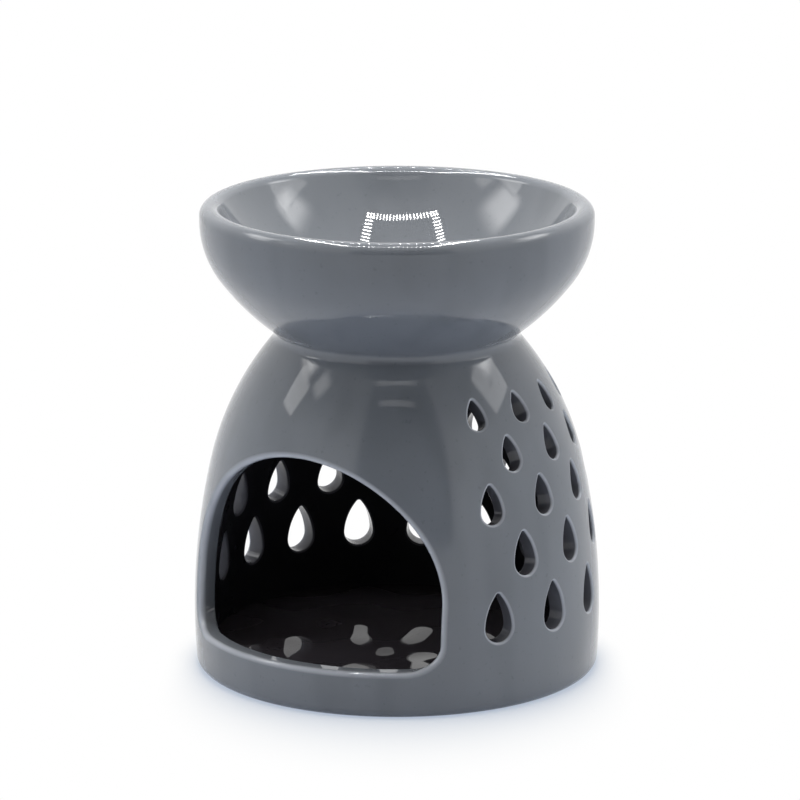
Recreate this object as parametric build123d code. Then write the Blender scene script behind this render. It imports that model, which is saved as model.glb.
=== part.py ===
"""Essential oil burner: a pierced, domed candle chamber with an oil bowl joined to its top.

Sizes are in millimetres. The origin is the middle of the underside, +Z is up, and the
arch that takes the candle faces -Y. Profile points are (radius, height) pairs.
"""
import math
import os

from build123d import *

# Candle chamber, outer form
BODY_RADIUS = 50.0  # outer radius of the widest ring
BELLY_HEIGHT = 14.0  # height of the widest ring
BELLY_ARC = 168.0  # radius of the belly's upright curve
SHOULDER_RISE = 38.0  # from the widest ring to the start of the shoulder
NECK_RISE = 31.8  # from the start of the shoulder to the joint with the bowl
NECK_INSET = 20.9  # how far the crease under the bowl lies in from the widest ring
WALL = 4.8  # thickness of the chamber wall

# Base
FLOOR_HEIGHT = 6.3  # the chamber floor above the table
BASE_ROUND = 2.5  # rounding of the lower edge
FOOT_WIDTH = 7.0  # width of the ring the burner stands on
FOOT_DEPTH = 1.2  # how far the underside is hollowed inside that ring

# Arch
ARCH_CHEEK = 15.6  # from each side of the arch out to the widest ring
ARCH_SILL = 11.5  # height of the sill above the table
ARCH_SPRING = 14.5  # from the sill to where the round head begins
ARCH_CORNER = 6.0  # rounding of the two lower corners
ARCH_ROUND = 1.3  # softened edge all round the opening

# Teardrop piercings, lowest row first
TEAR_ROWS = 5
TEARS_PER_ROW = 12
TEAR_MARGIN = 16.9  # along the wall, from a side of the arch to the nearest teardrop's middle
TEAR_HEIGHT = 12.0  # in the lowest row
TEAR_WIDTH = 7.4  # in the lowest row
TEAR_TIP = 0.7  # radius of the blunted tip in the lowest row
TEAR_SIDE = 14.04  # radius of the bowed sides in the lowest row
TEAR_SHRINK = 0.89  # size of each row against the row below
ROW_HEIGHT = 23.3  # middle of the lowest row above the table
ROW_STEP = 14.5  # from the lowest row to the next
ROW_SHRINK = 0.87  # each step against the step below

# Oil bowl
BOWL_RADIUS = 48.05  # outer radius at the lip
BOWL_RISE = 31.7  # from the joint to the top of the lip
BOWL_FLOOR = 4.0  # thickness over the flame
BOWL_LOWER_ARC = 62.0  # radius of the lower outside curve
BOWL_SIDE_LIFT = 4.56  # from the joint up to the lowest point of the upper curve's circle
LIP_ROUND = 2.7  # radius of the rounded lip
LIP_UPRIGHT = 1.3  # short upright part under the lip

# Joint between chamber and bowl
BEAD_ROUND = 2.0  # hollow radius of the joint's visible face
BEAD_EDGE = 1.2  # thickness of the joint at its two edges
BEAD_DEPTH = 2.5  # how far the joint reaches in from the crease

CUT_MARGIN = 1.5  # cutters reach this far past the surfaces they cut


def along(start, end, length):
    """Point at a length from start towards end."""
    share = length / math.dist(start, end)
    return start[0] + share * (end[0] - start[0]), start[1] + share * (end[1] - start[1])


def at_height(centre, radius, height):
    """Outer point of a circle at a height."""
    return centre[0] + math.sqrt(radius**2 - (height - centre[1]) ** 2), height


def meet(centre_a, radius_a, centre_b, radius_b):
    """The two points where two circles cross."""
    apart = math.dist(centre_a, centre_b)
    reach = (apart**2 + radius_a**2 - radius_b**2) / (2 * apart)
    half = math.sqrt(radius_a**2 - reach**2)
    foot = along(centre_a, centre_b, reach)
    side = ((centre_b[1] - centre_a[1]) * half / apart, (centre_a[0] - centre_b[0]) * half / apart)
    return (foot[0] + side[0], foot[1] + side[1]), (foot[0] - side[0], foot[1] - side[1])


def touching_centre(start, towards, through):
    """Centre of the arc that is square at start to the line towards a point and passes through another."""
    unit = along((0.0, 0.0), (towards[0] - start[0], towards[1] - start[1]), 1.0)
    step = (through[0] - start[0], through[1] - start[1])
    radius = (step[0] ** 2 + step[1] ** 2) / (2 * (unit[0] * step[0] + unit[1] * step[1]))
    return start[0] + unit[0] * radius, start[1] + unit[1] * radius


def upright(point):
    """Profile point as a point in the XZ plane."""
    return point[0], 0.0, point[1]


def straight(*points):
    """Straight profile lines through the points."""
    return Polyline(*[upright(point) for point in points])


def bend(centre, start, end):
    """Profile arc about a centre, the short way from start to end."""
    halfway = ((start[0] + end[0]) / 2, (start[1] + end[1]) / 2)
    middle = along(centre, halfway, math.dist(centre, start))
    return ThreePointArc(upright(start), upright(middle), upright(end))


def turned(*edges):
    """Solid of revolution about Z from the edges of its half section."""
    return revolve(make_face(edges), Axis.Z)


# Chamber curves
BELLY_CENTRE = (BODY_RADIUS - BELLY_ARC, BELLY_HEIGHT)
SHOULDER = at_height(BELLY_CENTRE, BELLY_ARC, BELLY_HEIGHT + SHOULDER_RISE)
NECK = (BODY_RADIUS - NECK_INSET, SHOULDER[1] + NECK_RISE)
SHOULDER_CENTRE = touching_centre(SHOULDER, BELLY_CENTRE, NECK)
SHOULDER_ARC = math.dist(SHOULDER_CENTRE, NECK)

# Arch and teardrops: the rows fill the wall from one side of the arch round to the other
ARCH_HALF = BODY_RADIUS - ARCH_CHEEK
TEAR_START = math.degrees(math.asin(ARCH_HALF / BODY_RADIUS) + TEAR_MARGIN / BODY_RADIUS)
TEAR_PITCH = (360 - 2 * TEAR_START) / (TEARS_PER_ROW - 0.5)

# Bowl curves
LIP_CENTRE = (BOWL_RADIUS - LIP_ROUND, NECK[1] + BOWL_RISE - LIP_ROUND)
SIDE_HEIGHT = LIP_CENTRE[1] - LIP_UPRIGHT
SIDE_ARC = SIDE_HEIGHT - NECK[1] - BOWL_SIDE_LIFT
SIDE_CENTRE = (BOWL_RADIUS - SIDE_ARC, SIDE_HEIGHT)
LOWER_CENTRE = min(meet(SIDE_CENTRE, BOWL_LOWER_ARC - SIDE_ARC, NECK, BOWL_LOWER_ARC))

# Hollow of the bowl: part of a ball that touches its floor and the inside of the lip
DISH_FLOOR = (0.0, NECK[1] + BOWL_FLOOR)
DISH_RISE = LIP_CENTRE[1] - DISH_FLOOR[1]
DISH_ARC = (LIP_CENTRE[0] ** 2 + DISH_RISE**2 - LIP_ROUND**2) / (2 * (DISH_RISE + LIP_ROUND))
DISH_CENTRE = (0.0, DISH_FLOOR[1] + DISH_ARC)
DISH_EDGE = along(LIP_CENTRE, DISH_CENTRE, LIP_ROUND)

# Joint: its hollow face touches the shoulder below and the bowl above
BEAD_CENTRE = max(
    meet(SHOULDER_CENTRE, SHOULDER_ARC + BEAD_ROUND, LOWER_CENTRE, BOWL_LOWER_ARC + BEAD_ROUND)
)
BEAD_LOW = along(BEAD_CENTRE, SHOULDER_CENTRE, BEAD_ROUND)
BEAD_HIGH = along(BEAD_CENTRE, LOWER_CENTRE, BEAD_ROUND)
BEAD_LOW_ROOT = along(BEAD_LOW, SHOULDER_CENTRE, BEAD_EDGE)
BEAD_HIGH_ROOT = along(BEAD_HIGH, LOWER_CENTRE, BEAD_EDGE)
SEAT = (NECK[0] - BEAD_DEPTH, NECK[1])


def chamber_base():
    """Floor slab with a rounded lower edge and a ring to stand on."""
    round_centre = at_height(BELLY_CENTRE, BELLY_ARC - BASE_ROUND, BASE_ROUND)
    foot_outer = (round_centre[0], 0.0)
    foot_inner = (foot_outer[0] - FOOT_WIDTH, 0.0)
    hollow_edge = (foot_inner[0] - FOOT_DEPTH, FOOT_DEPTH)
    round_end = along(BELLY_CENTRE, round_centre, BELLY_ARC)
    floor_edge = at_height(BELLY_CENTRE, BELLY_ARC, FLOOR_HEIGHT)
    return turned(
        straight((0.0, FLOOR_HEIGHT), (0.0, FOOT_DEPTH), hollow_edge, foot_inner, foot_outer),
        bend(round_centre, foot_outer, round_end),
        bend(BELLY_CENTRE, round_end, floor_edge),
        straight(floor_edge, (0.0, FLOOR_HEIGHT)),
    )


def plain_wall():
    """Domed wall before anything is cut through it."""
    foot = at_height(BELLY_CENTRE, BELLY_ARC, FLOOR_HEIGHT)
    seat_inner = at_height(SHOULDER_CENTRE, SHOULDER_ARC - WALL, NECK[1])
    shoulder_inner = along(SHOULDER, SHOULDER_CENTRE, WALL)
    foot_inner = at_height(BELLY_CENTRE, BELLY_ARC - WALL, FLOOR_HEIGHT)
    return turned(
        bend(BELLY_CENTRE, foot, SHOULDER),
        bend(SHOULDER_CENTRE, SHOULDER, BEAD_LOW),
        straight(BEAD_LOW, BEAD_LOW_ROOT, SEAT, seat_inner),
        bend(SHOULDER_CENTRE, seat_inner, shoulder_inner),
        bend(BELLY_CENTRE, shoulder_inner, foot_inner),
        straight(foot_inner, foot),
    )


def arch_cutter():
    """Round-headed opening, straight through the front of the wall."""
    half = ARCH_HALF
    spring = ARCH_SILL + ARCH_SPRING
    low = ARCH_SILL + ARCH_CORNER
    inner = half - ARCH_CORNER
    outline = make_face(
        [
            straight((-inner, ARCH_SILL), (inner, ARCH_SILL)),
            bend((inner, low), (inner, ARCH_SILL), (half, low)),
            straight((half, low), (half, spring)),
            ThreePointArc(upright((half, spring)), upright((0.0, spring + half)), upright((-half, spring))),
            straight((-half, spring), (-half, low)),
            bend((-inner, low), (-half, low), (-inner, ARCH_SILL)),
        ]
    )
    return extrude(outline, BODY_RADIUS + CUT_MARGIN, dir=(0, -1, 0))


def arched_wall():
    """Wall with the arch cut and both its edges softened."""
    wall = plain_wall() - arch_cutter()
    reach = ARCH_HALF + CUT_MARGIN
    top = ARCH_SILL + ARCH_SPRING + reach
    rims = [
        edge
        for edge in wall.edges()
        if edge.geom_type != GeomType.LINE
        and abs(edge.center().X) < reach
        and edge.center().Y < -CUT_MARGIN
        and ARCH_SILL - CUT_MARGIN < edge.center().Z < top
    ]
    return fillet(rims, ARCH_ROUND)


def teardrop(scale):
    """Outline with a round foot, bowed sides and a blunted tip, centred on its height."""
    height = TEAR_HEIGHT * scale
    foot = TEAR_WIDTH * scale / 2
    tip = TEAR_TIP * scale
    side = TEAR_SIDE * scale
    foot_centre = (0.0, foot - height / 2)
    tip_centre = (0.0, height / 2 - tip)
    side_centre = min(meet(foot_centre, side - foot, tip_centre, side - tip))
    low = along(side_centre, foot_centre, side)
    high = along(side_centre, tip_centre, side)
    belly = along(side_centre, ((low[0] + high[0]) / 2, (low[1] + high[1]) / 2), side)
    return make_face(
        [
            ThreePointArc((-low[0], low[1]), (0.0, -height / 2), low),
            ThreePointArc(low, belly, high),
            ThreePointArc(high, (0.0, height / 2), (-high[0], high[1])),
            ThreePointArc((-high[0], high[1]), (-belly[0], belly[1]), (-low[0], low[1])),
        ]
    )


def tear_cutter(height, scale):
    """Teardrop cutter over the arch, square to the wall at a height."""
    if height < SHOULDER[1]:
        centre, radius = BELLY_CENTRE, BELLY_ARC
    else:
        centre, radius = SHOULDER_CENTRE, SHOULDER_ARC
    spot = at_height(centre, radius, height)
    start = along(centre, spot, radius + CUT_MARGIN)
    facing = along((0.0, 0.0), (spot[0] - centre[0], spot[1] - centre[1]), 1.0)
    plane = Plane((0, -start[0], start[1]), x_dir=(1, 0, 0), z_dir=(0, -facing[0], facing[1]))
    return extrude(plane * teardrop(scale), -(WALL + 2 * CUT_MARGIN))


def tear_cutters():
    """All teardrop cutters, every second row shifted by half the pitch."""
    cutters = []
    height = ROW_HEIGHT
    for row in range(TEAR_ROWS):
        cutter = tear_cutter(height, TEAR_SHRINK**row)
        start = TEAR_START + TEAR_PITCH / 2 * (row % 2)
        for place in range(TEARS_PER_ROW):
            cutters.append(Rot(0, 0, start + place * TEAR_PITCH) * cutter)
        height += ROW_STEP * ROW_SHRINK**row
    return cutters


def chamber_wall():
    """Domed wall with its arch and its rows of teardrops."""
    return arched_wall() - tear_cutters()


def neck_joint():
    """Ring of clay slip that closes the crease between wall and bowl."""
    return turned(
        straight(BEAD_HIGH, BEAD_HIGH_ROOT, SEAT, BEAD_LOW_ROOT, BEAD_LOW),
        bend(BEAD_CENTRE, BEAD_LOW, BEAD_HIGH),
    )


def oil_bowl():
    """Round-lipped bowl with a dished inside and a flat foot over the flame."""
    lower_end = along(LOWER_CENTRE, SIDE_CENTRE, BOWL_LOWER_ARC)
    side_end = (BOWL_RADIUS, SIDE_CENTRE[1])
    lip = (BOWL_RADIUS, LIP_CENTRE[1])
    lip_top = (LIP_CENTRE[0], LIP_CENTRE[1] + LIP_ROUND)
    return turned(
        straight(DISH_FLOOR, (0.0, NECK[1]), SEAT, BEAD_HIGH_ROOT, BEAD_HIGH),
        bend(LOWER_CENTRE, BEAD_HIGH, lower_end),
        bend(SIDE_CENTRE, lower_end, side_end),
        straight(side_end, lip),
        bend(LIP_CENTRE, lip, lip_top),
        bend(LIP_CENTRE, lip_top, DISH_EDGE),
        bend(DISH_CENTRE, DISH_EDGE, DISH_FLOOR),
    )


def main():
    """Write one file for each piece."""
    os.makedirs("parts", exist_ok=True)
    for piece in (chamber_base, chamber_wall, neck_joint, oil_bowl):
        export_step(piece(), f"parts/{piece.__name__}.step")


if __name__ == "__main__":
    main()
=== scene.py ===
"""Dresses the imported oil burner: smooth glazed skins for its four pieces, studio light and camera.

Sizes are in millimetres unless a comment says otherwise. Half sections are (radius, height) pairs.
Turns about the upright axis are measured from the front, -Y, towards +X.
"""

import logging
import math
from dataclasses import dataclass, field
from enum import Enum

import bpy
import numpy as np
from mathutils import Matrix, Vector
from mathutils.geometry import delaunay_2d_cdt

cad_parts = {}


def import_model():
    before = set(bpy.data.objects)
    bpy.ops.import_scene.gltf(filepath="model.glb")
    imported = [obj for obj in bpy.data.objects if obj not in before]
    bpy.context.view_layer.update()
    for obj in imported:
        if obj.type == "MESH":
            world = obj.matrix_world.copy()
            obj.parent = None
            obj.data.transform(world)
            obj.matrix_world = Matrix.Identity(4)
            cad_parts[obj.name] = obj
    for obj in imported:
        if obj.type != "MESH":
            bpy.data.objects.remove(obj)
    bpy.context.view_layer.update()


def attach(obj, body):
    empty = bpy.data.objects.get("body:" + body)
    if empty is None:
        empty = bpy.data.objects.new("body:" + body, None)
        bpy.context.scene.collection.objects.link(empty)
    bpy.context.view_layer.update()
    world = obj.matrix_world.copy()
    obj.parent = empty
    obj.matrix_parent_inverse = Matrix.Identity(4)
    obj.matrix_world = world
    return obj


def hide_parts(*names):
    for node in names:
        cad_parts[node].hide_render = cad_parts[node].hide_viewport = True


MM = 0.001
THIN_GLAZE = "thin_glaze"  # value on each point of a piece, from 0 to 1
ON_AXIS = 1e-6  # a smaller radius counts as the axis
SAME_PLACE = 1e-6  # closer places of a flat pattern count as one
NOISE_SPAN = (0.3, 0.7)  # levels between which most of a noise lies
ROOF_HEIGHT = 0.365  # of the lamps overhead, metres
DOT_GLOW = 340.0  # of the lamps that are rows of dots
KEY_SIDE = (-0.05, 0.22)  # place of the lamps at the sides, metres away from the camera and up
KEY_AIM = (0.0, 0.0, 0.07)  # point that they face, metres
KEY_TINT = (0.93, 1.0, 1.08)

log = logging.getLogger("oil_burner")

Array = np.ndarray
Point = tuple[float, float]
Colour = tuple[float, float, float]
Tree = bpy.types.NodeTree
Socket = bpy.types.NodeSocket


class Coat(Enum):
    """Finish of a face, by its place in a piece's list of materials."""

    GREY = 0
    # near-black copy of the grey glaze inside the chamber: painted shade of the unlit chamber
    CHAMBER_PAINTED_SHADE = 1
    # dark copy of the grey glaze on the chamber's floor: painted shade
    FLOOR_PAINTED_SHADE = 2
    # darker copy of the grey glaze on the walls of the teardrops: painted shade of the recess
    HOLE_PAINTED_SHADE = 3


def along(start: Point, end: Point, length: float) -> Point:
    """Find the point at a length from one point towards another.

    Args:
        start: Point to measure from.
        end: Point to measure towards.
        length: Distance from start.

    Returns:
        The point on the line through both.
    """
    share = length / math.dist(start, end)
    return start[0] + share * (end[0] - start[0]), start[1] + share * (end[1] - start[1])


def at_height(centre: Point, radius: float, height: float) -> Point:
    """Give the outer point of a circle at a height."""
    return centre[0] + math.sqrt(radius**2 - (height - centre[1]) ** 2), height


def meet(centre_a: Point, radius_a: float, centre_b: Point, radius_b: float) -> tuple[Point, Point]:
    """Find where two circles cross.

    Args:
        centre_a: Centre of the first circle.
        radius_a: Radius of the first circle.
        centre_b: Centre of the second circle.
        radius_b: Radius of the second circle.

    Returns:
        The two crossing points.
    """
    apart = math.dist(centre_a, centre_b)
    reach = (apart**2 + radius_a**2 - radius_b**2) / (2 * apart)
    half = math.sqrt(radius_a**2 - reach**2)
    foot = along(centre_a, centre_b, reach)
    side = ((centre_b[1] - centre_a[1]) * half / apart, (centre_a[0] - centre_b[0]) * half / apart)
    return (foot[0] + side[0], foot[1] + side[1]), (foot[0] - side[0], foot[1] - side[1])


def bearing(centre: Point, point: Point) -> float:
    """Give the angle of a point about a centre, in degrees."""
    return math.degrees(math.atan2(point[1] - centre[1], point[0] - centre[0]))


@dataclass(frozen=True, kw_only=True)
class Stretch:
    """One part of an outline or half section, walked with the clay on its left.

    Attributes:
        coat: Finish of the faces turned from it.
        thin: How thin the glaze lies at its two ends, from 0 to 1.
    """

    coat: Coat = Coat.GREY
    thin: tuple[float, float] = (0.0, 0.0)

    def sample(self, step: float) -> tuple[Array, Array]:
        """Give points along the stretch and the way out of the clay at each."""
        raise NotImplementedError


@dataclass(frozen=True)
class Line(Stretch):
    """Straight stretch between two points."""

    start: Point
    end: Point

    @property
    def outward(self) -> Array:
        """Way out of the clay."""
        course = (np.array(self.end) - np.array(self.start)) / math.dist(self.start, self.end)
        return np.array([course[1], -course[0]])

    def sample(self, step: float) -> tuple[Array, Array]:
        """Place points along the line.

        Args:
            step: Longest distance between two points.

        Returns:
            The points, and the outward direction at each.
        """
        start, end = np.array(self.start), np.array(self.end)
        shares = np.linspace(0.0, 1.0, max(1, math.ceil(math.dist(start, end) / step)) + 1)
        return start + shares[:, None] * (end - start), np.tile(self.outward, (len(shares), 1))


@dataclass(frozen=True)
class Arc(Stretch):
    """Round stretch about a centre, the short way from one point to another."""

    centre: Point
    start: Point
    end: Point
    widest_turn: float = 10.0  # degrees between two points

    def sample(self, step: float) -> tuple[Array, Array]:
        """Place points along the arc.

        Args:
            step: Longest distance between two points.

        Returns:
            The points, and the outward direction at each.
        """
        first = bearing(self.centre, self.start)
        turn = (bearing(self.centre, self.end) - first + 180.0) % 360.0 - 180.0
        radius = math.dist(self.centre, self.start)
        by_length = math.radians(abs(turn)) * radius / step
        count = max(2, math.ceil(by_length), math.ceil(abs(turn) / self.widest_turn))
        angles = np.radians(np.linspace(first, first + turn, count + 1))
        rays = np.stack([np.cos(angles), np.sin(angles)], axis=1)
        return np.array(self.centre) + radius * rays, rays * math.copysign(1.0, turn)


@dataclass
class Skin:
    """Gathers the points, faces and corner normals of one closed piece."""

    name: str
    count: int = 0
    points: list[Array] = field(default_factory=list)
    thin: list[Array] = field(default_factory=list)
    faces: list[list[int]] = field(default_factory=list)
    normals: list[Array] = field(default_factory=list)
    coats: list[int] = field(default_factory=list)

    def add_points(self, points: Array, thin: float | Array = 0.0) -> Array:
        """Add points to the piece.

        Args:
            points: One row of three coordinates for each point.
            thin: How thin the glaze lies there, for all or for each.

        Returns:
            The numbers of the new points.
        """
        self.points.append(points)
        self.thin.append(np.broadcast_to(np.asarray(thin, dtype=float), len(points)))
        self.count += len(points)
        return np.arange(self.count - len(points), self.count)

    def add_faces(self, faces: Array, normals: Array, coat: Coat) -> None:
        """Add faces to the piece.

        Args:
            faces: Point numbers of each face, one row for each.
            normals: A direction for each corner of each face.
            coat: Finish of these faces.
        """
        self.faces.extend(faces.tolist())
        self.normals.append(normals.reshape(-1, 3))
        self.coats.extend([coat.value] * len(faces))

    def add_band(self, near: Array, far: Array, near_out: Array, far_out: Array, coat: Coat) -> None:
        """Join two closed rings of points with a band of faces.

        Args:
            near: Point numbers of the first ring, or the one point of a pole.
            far: Point numbers of the second ring, or the one point of a pole.
            near_out: Outward direction at each point of the first ring.
            far_out: Outward direction at each point of the second ring.
            coat: Finish of the band.
        """
        size = max(len(near), len(far))
        here, there = np.arange(size), np.roll(np.arange(size), -1)
        if len(near) == 1:
            faces = np.stack([np.repeat(near, size), far[there], far[here]], axis=1)
            normals = np.stack([near_out[here], far_out[there], far_out[here]], axis=1)
        elif len(far) == 1:
            faces = np.stack([near[here], near[there], np.repeat(far, size)], axis=1)
            normals = np.stack([near_out[here], near_out[there], far_out[here]], axis=1)
        else:
            faces = np.stack([near[here], near[there], far[there], far[here]], axis=1)
            normals = np.stack([near_out[here], near_out[there], far_out[there], far_out[here]], axis=1)
        self.add_faces(faces, normals, coat)

    def to_object(self) -> bpy.types.Object:
        """Make the mesh object and put it in the scene.

        Returns:
            The new object, smooth and with the gathered normals.
        """
        mesh = bpy.data.meshes.new(self.name)
        mesh.from_pydata((np.concatenate(self.points) * MM).tolist(), [], self.faces)
        mesh.polygons.foreach_set("material_index", self.coats)
        mesh.polygons.foreach_set("use_smooth", [True] * len(self.faces))
        layer = mesh.attributes.new(THIN_GLAZE, "FLOAT", "POINT")
        layer.data.foreach_set("value", np.concatenate(self.thin).astype(np.float32))
        mesh.update()
        mesh.normals_split_custom_set(np.concatenate(self.normals).tolist())
        piece = bpy.data.objects.new(self.name, mesh)
        bpy.context.collection.objects.link(piece)
        return piece


@dataclass(frozen=True)
class Wheel:
    """Turns half sections about the upright axis."""

    segments: int = 192
    step: float = 1.6

    def rays(self) -> Array:
        """Give the outward direction of each segment's edge, from the front round."""
        turns = np.arange(self.segments) * (2 * math.pi / self.segments)
        return np.stack([np.sin(turns), -np.cos(turns), np.zeros(self.segments)], axis=1)

    def spread(self, pair: Array) -> Array:
        """Carry a (radius, height) pair round the axis."""
        return pair[0] * self.rays() + np.array([0.0, 0.0, pair[1]])

    def throw(self, skin: Skin, section: list[Stretch]) -> None:
        """Turn a half section and add its faces.

        Args:
            skin: Piece that takes the faces.
            section: Stretches in order, from the axis back to the axis or round to their start.
        """
        first_point = section[0].sample(self.step)[0][0]
        first = last = self._ring(skin, first_point, section[0].thin[0])
        for stretch in section:
            points, outs = stretch.sample(self.step)
            thin = np.linspace(*stretch.thin, len(points))
            near, near_out = last, self.spread(outs[0])
            for place in range(1, len(points)):
                if np.allclose(points[place], first_point):
                    far = first
                else:
                    far = self._ring(skin, points[place], thin[place])
                far_out = self.spread(outs[place])
                skin.add_band(near, far, near_out, far_out, stretch.coat)
                near, near_out = far, far_out
            last = near

    def _ring(self, skin: Skin, pair: Array, thin: float) -> Array:
        """Add the ring of one half-section point, or a single point on the axis."""
        points = self.spread(pair)
        return skin.add_points(points[:1] if abs(pair[0]) < ON_AXIS else points, thin)


@dataclass(frozen=True)
class DomeCurve:
    """Upright curve of the chamber: a belly arc that runs on into a shoulder arc.

    A place on the wall is its turn about the axis, its lean, which is how far the skin
    faces upwards, both in radians, and its depth under the outer skin.
    """

    body_radius: float = 50.0  # of the widest ring
    belly_height: float = 14.0  # of the widest ring
    belly_arc: float = 168.0
    shoulder_rise: float = 38.0  # from the widest ring to the start of the shoulder
    neck_rise: float = 31.8  # from the start of the shoulder to the joint with the bowl
    neck_inset: float = 20.9  # of the crease under the bowl, from the widest ring
    floor_height: float = 6.3  # of the chamber's floor, where the wall stands on the base
    sink_steps: int = 12  # rounds in which a point is sunk to its depth

    @property
    def belly_centre(self) -> Point:
        """Centre of the belly's arc."""
        return self.body_radius - self.belly_arc, self.belly_height

    @property
    def shoulder(self) -> Point:
        """Point where the belly turns into the shoulder."""
        return at_height(self.belly_centre, self.belly_arc, self.belly_height + self.shoulder_rise)

    @property
    def neck(self) -> Point:
        """Crease between the chamber and the bowl."""
        return self.body_radius - self.neck_inset, self.shoulder[1] + self.neck_rise

    @property
    def shoulder_arc(self) -> float:
        """Radius of the shoulder, which leaves the belly without a kink and ends at the neck."""
        start, through = np.array(self.shoulder), np.array(self.neck)
        towards = np.array(self.belly_centre) - start
        towards /= np.linalg.norm(towards)
        chord = through - start
        return float(chord @ chord / (2 * towards @ chord))

    @property
    def shoulder_centre(self) -> Point:
        """Centre of the shoulder's arc."""
        return along(self.shoulder, self.belly_centre, self.shoulder_arc)

    @property
    def change(self) -> float:
        """Lean at which the shoulder begins."""
        return math.asin(self.shoulder_rise / self.belly_arc)

    def lean_at(self, height: float, depth: float = 0.0) -> float:
        """Find the lean of the skin at a height.

        Args:
            height: Height above the table.
            depth: Depth under the outer skin.

        Returns:
            The lean, on whichever of the two arcs passes that height.
        """
        lean = math.asin((height - self.belly_height) / (self.belly_arc - depth))
        if lean > self.change:
            lean = math.asin((height - self.shoulder_centre[1]) / (self.shoulder_arc - depth))
        return lean

    def place(self, turn: Array, lean: Array, depth: float) -> Array:
        """Give the points at turns, leans and a depth."""
        upper = lean > self.change
        radius = np.where(upper, self.shoulder_arc, self.belly_arc) - depth
        out = np.where(upper, self.shoulder_centre[0], self.belly_centre[0]) + radius * np.cos(lean)
        height = np.where(upper, self.shoulder_centre[1], self.belly_centre[1]) + radius * np.sin(lean)
        return np.stack([out * np.sin(turn), -out * np.cos(turn), height], axis=-1)

    def facing(self, turn: Array, lean: Array) -> Array:
        """Give the way out of the wall at turns and leans."""
        flat = np.cos(lean)
        return np.stack([flat * np.sin(turn), -flat * np.cos(turn), np.sin(lean)], axis=-1)

    def locate(self, points: Array) -> tuple[Array, Array, Array]:
        """Find the turn, lean and depth of points.

        Args:
            points: Points near the wall.

        Returns:
            The turns, leans and depths.
        """
        out = np.hypot(points[:, 0], points[:, 1])
        lean, depth = self._from_arc(out, points[:, 2], self.belly_centre, self.belly_arc)
        high, under = self._from_arc(out, points[:, 2], self.shoulder_centre, self.shoulder_arc)
        upper = lean > self.change
        turn = np.arctan2(points[:, 0], -points[:, 1])
        return turn, np.where(upper, high, lean), np.where(upper, under, depth)

    def _from_arc(self, out: Array, height: Array, centre: Point, arc: float) -> tuple[Array, Array]:
        """Give the lean and depth of points as one of the two arcs sees them."""
        return np.arctan2(height - centre[1], out - centre[0]), arc - np.hypot(height - centre[1], out - centre[0])

    def sink(self, points: Array, inward: Array, depth: float) -> Array:
        """Move points along a straight cut until they lie at a depth in the wall.

        Args:
            points: Points on or near the wall.
            inward: Direction of the cut.
            depth: Wanted depth under the outer skin.

        Returns:
            The moved points.
        """
        for _ in range(self.sink_steps):
            turn, lean, now = self.locate(points)
            pace = -(self.facing(turn, lean) @ inward)
            points = points + ((depth - now) / pace)[:, None] * inward
        return points

    def run(self, lean: Array) -> Array:
        """Give the distance up the outer skin to a lean, from the widest ring."""
        below = np.minimum(lean, self.change) * self.belly_arc
        return below + np.maximum(lean - self.change, 0.0) * self.shoulder_arc

    def lean_of_run(self, run: Array) -> Array:
        """Give the lean at a distance up the outer skin."""
        knee = self.change * self.belly_arc
        return np.minimum(run, knee) / self.belly_arc + np.maximum(run - knee, 0.0) / self.shoulder_arc


@dataclass(frozen=True)
class BowlCurve:
    """Curves of the oil bowl, and the joint that fills the crease below it."""

    dome: DomeCurve = DomeCurve()
    radius: float = 48.05  # at the lip
    rise: float = 31.7  # from the joint to the top of the lip
    floor: float = 4.0  # thickness over the flame
    lower_arc: float = 62.0
    side_lift: float = 4.56  # from the joint up to the lowest point of the upper curve's circle
    lip_round: float = 2.7
    lip_upright: float = 1.3
    bead_round: float = 2.0
    bead_edge: float = 1.2
    bead_depth: float = 2.5

    @property
    def lip_centre(self) -> Point:
        """Centre of the lip's rounding."""
        return self.radius - self.lip_round, self.dome.neck[1] + self.rise - self.lip_round

    @property
    def dish_floor(self) -> Point:
        """Deepest point of the hollow."""
        return 0.0, self.dome.neck[1] + self.floor

    @property
    def dish_centre(self) -> Point:
        """Centre of the hollow's ball, which touches the floor and the inside of the lip."""
        depth = self.lip_centre[1] - self.dish_floor[1]
        spread = self.lip_centre[0] ** 2 + depth**2 - self.lip_round**2
        return 0.0, self.dish_floor[1] + spread / (2 * (depth + self.lip_round))

    @property
    def side_centre(self) -> Point:
        """Centre of the upper curve."""
        height = self.lip_centre[1] - self.lip_upright
        return self.radius - (height - self.dome.neck[1] - self.side_lift), height

    @property
    def side_arc(self) -> float:
        """Radius of the upper curve."""
        return self.radius - self.side_centre[0]

    @property
    def lower_centre(self) -> Point:
        """Centre of the lower curve, which runs from the joint into the upper curve."""
        return min(meet(self.side_centre, self.lower_arc - self.side_arc, self.dome.neck, self.lower_arc))

    @property
    def bead_centre(self) -> Point:
        """Centre of the joint's hollow face, which touches the shoulder and the bowl."""
        below = self.dome.shoulder_arc + self.bead_round
        above = self.lower_arc + self.bead_round
        return max(meet(self.dome.shoulder_centre, below, self.lower_centre, above))

    @property
    def bead_low(self) -> Point:
        """Lower edge of the joint's face."""
        return along(self.bead_centre, self.dome.shoulder_centre, self.bead_round)

    @property
    def bead_high(self) -> Point:
        """Upper edge of the joint's face."""
        return along(self.bead_centre, self.lower_centre, self.bead_round)

    @property
    def low_root(self) -> Point:
        """Inner end of the joint's lower edge."""
        return along(self.bead_low, self.dome.shoulder_centre, self.bead_edge)

    @property
    def high_root(self) -> Point:
        """Inner end of the joint's upper edge."""
        return along(self.bead_high, self.lower_centre, self.bead_edge)

    @property
    def seat(self) -> Point:
        """Innermost line of the joint, where the bowl sits on the wall."""
        return self.dome.neck[0] - self.bead_depth, self.dome.neck[1]


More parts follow.
